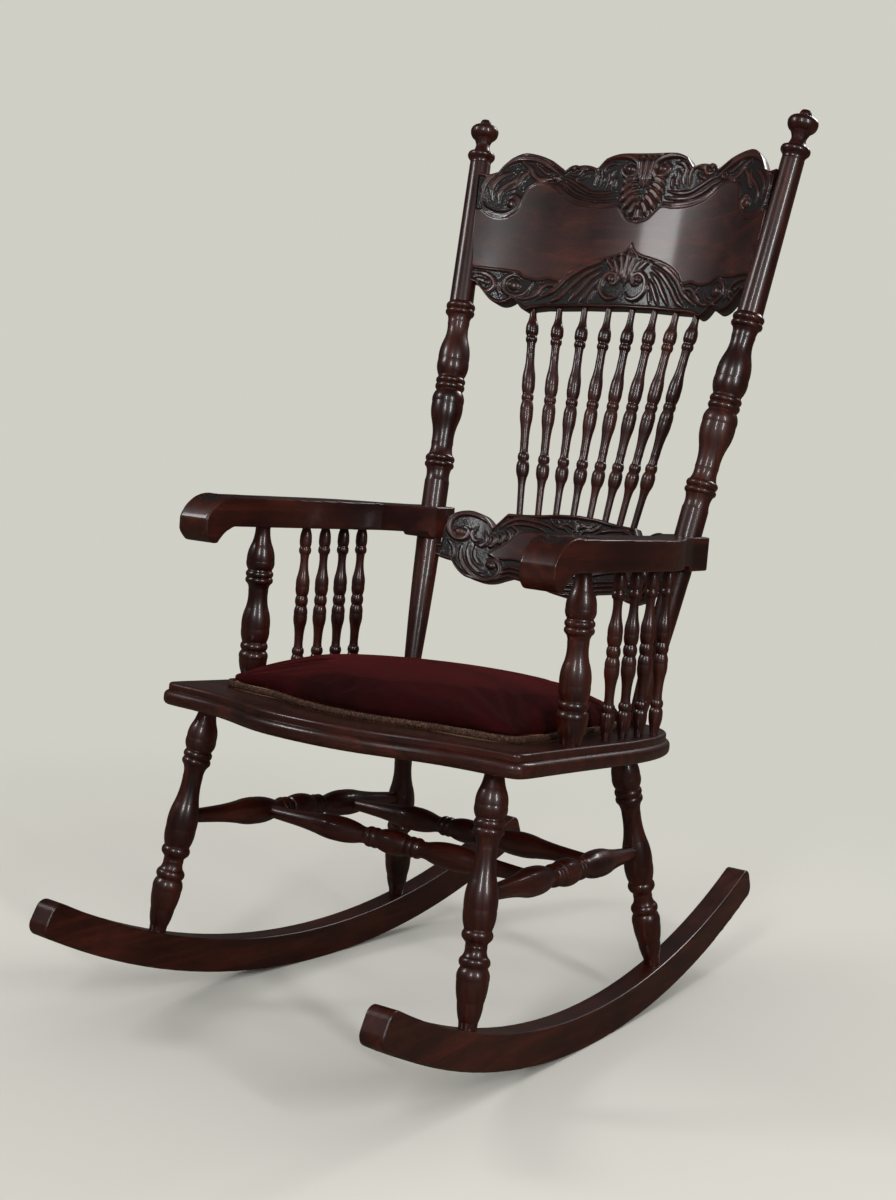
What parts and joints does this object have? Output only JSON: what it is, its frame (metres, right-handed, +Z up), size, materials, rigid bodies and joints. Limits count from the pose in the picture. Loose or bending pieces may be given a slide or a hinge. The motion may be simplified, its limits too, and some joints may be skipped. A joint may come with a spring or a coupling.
{
  "type": "rocking armchair",
  "caption": "High-backed rocking armchair in turned dark wood with bowed carved back rails, fanned spindles, open arms, an upholstered seat and curved runners.",
  "frame": {"origin": "on the floor, midway between the runners across the chair and midway between the runners' front and rear ends", "axes": "+Z up, the sitter faces -Y, +X to the right of someone looking at the chair's front"},
  "size_m": [0.533, 0.9172, 1.1473],
  "materials": {
    "dark_wood": "polished dark mahogany stain",
    "hidden_wood": "bare",
    "velvet": "crimson velvet",
    "braid": "woven braid"
  },
  "bodies": {
    "root": {"seat": "dark_wood", "back_post_left": "dark_wood", "back_post_right": "dark_wood", "crest_rail": "dark_wood", "lower_back_rail": "dark_wood", "arm_left": "dark_wood", "arm_right": "dark_wood", "arm_post_left": "dark_wood", "arm_post_right": "dark_wood", "front_leg_left": "dark_wood", "front_leg_right": "dark_wood", "rear_leg_left": "dark_wood", "rear_leg_right": "dark_wood", "side_stretcher_left": "dark_wood", "side_stretcher_right": "dark_wood", "cross_stretcher_front": "dark_wood", "cross_stretcher_rear": "dark_wood", "runner_left": "dark_wood", "runner_right": "dark_wood", "back_spindle_1": "dark_wood", "back_spindle_2": "dark_wood", "back_spindle_3": "dark_wood", "back_spindle_4": "dark_wood", "back_spindle_5": "dark_wood", "back_spindle_6": "dark_wood", "back_spindle_7": "dark_wood", "back_spindle_8": "dark_wood", "arm_spindle_left_1": "dark_wood", "arm_spindle_left_2": "dark_wood", "arm_spindle_left_3": "dark_wood", "arm_spindle_left_4": "dark_wood", "arm_spindle_right_1": "dark_wood", "arm_spindle_right_2": "dark_wood", "arm_spindle_right_3": "dark_wood", "arm_spindle_right_4": "dark_wood", "cushion_board": "hidden_wood", "seat_cushion": "velvet", "cushion_braid": "braid"}
  },
  "joints": []
}
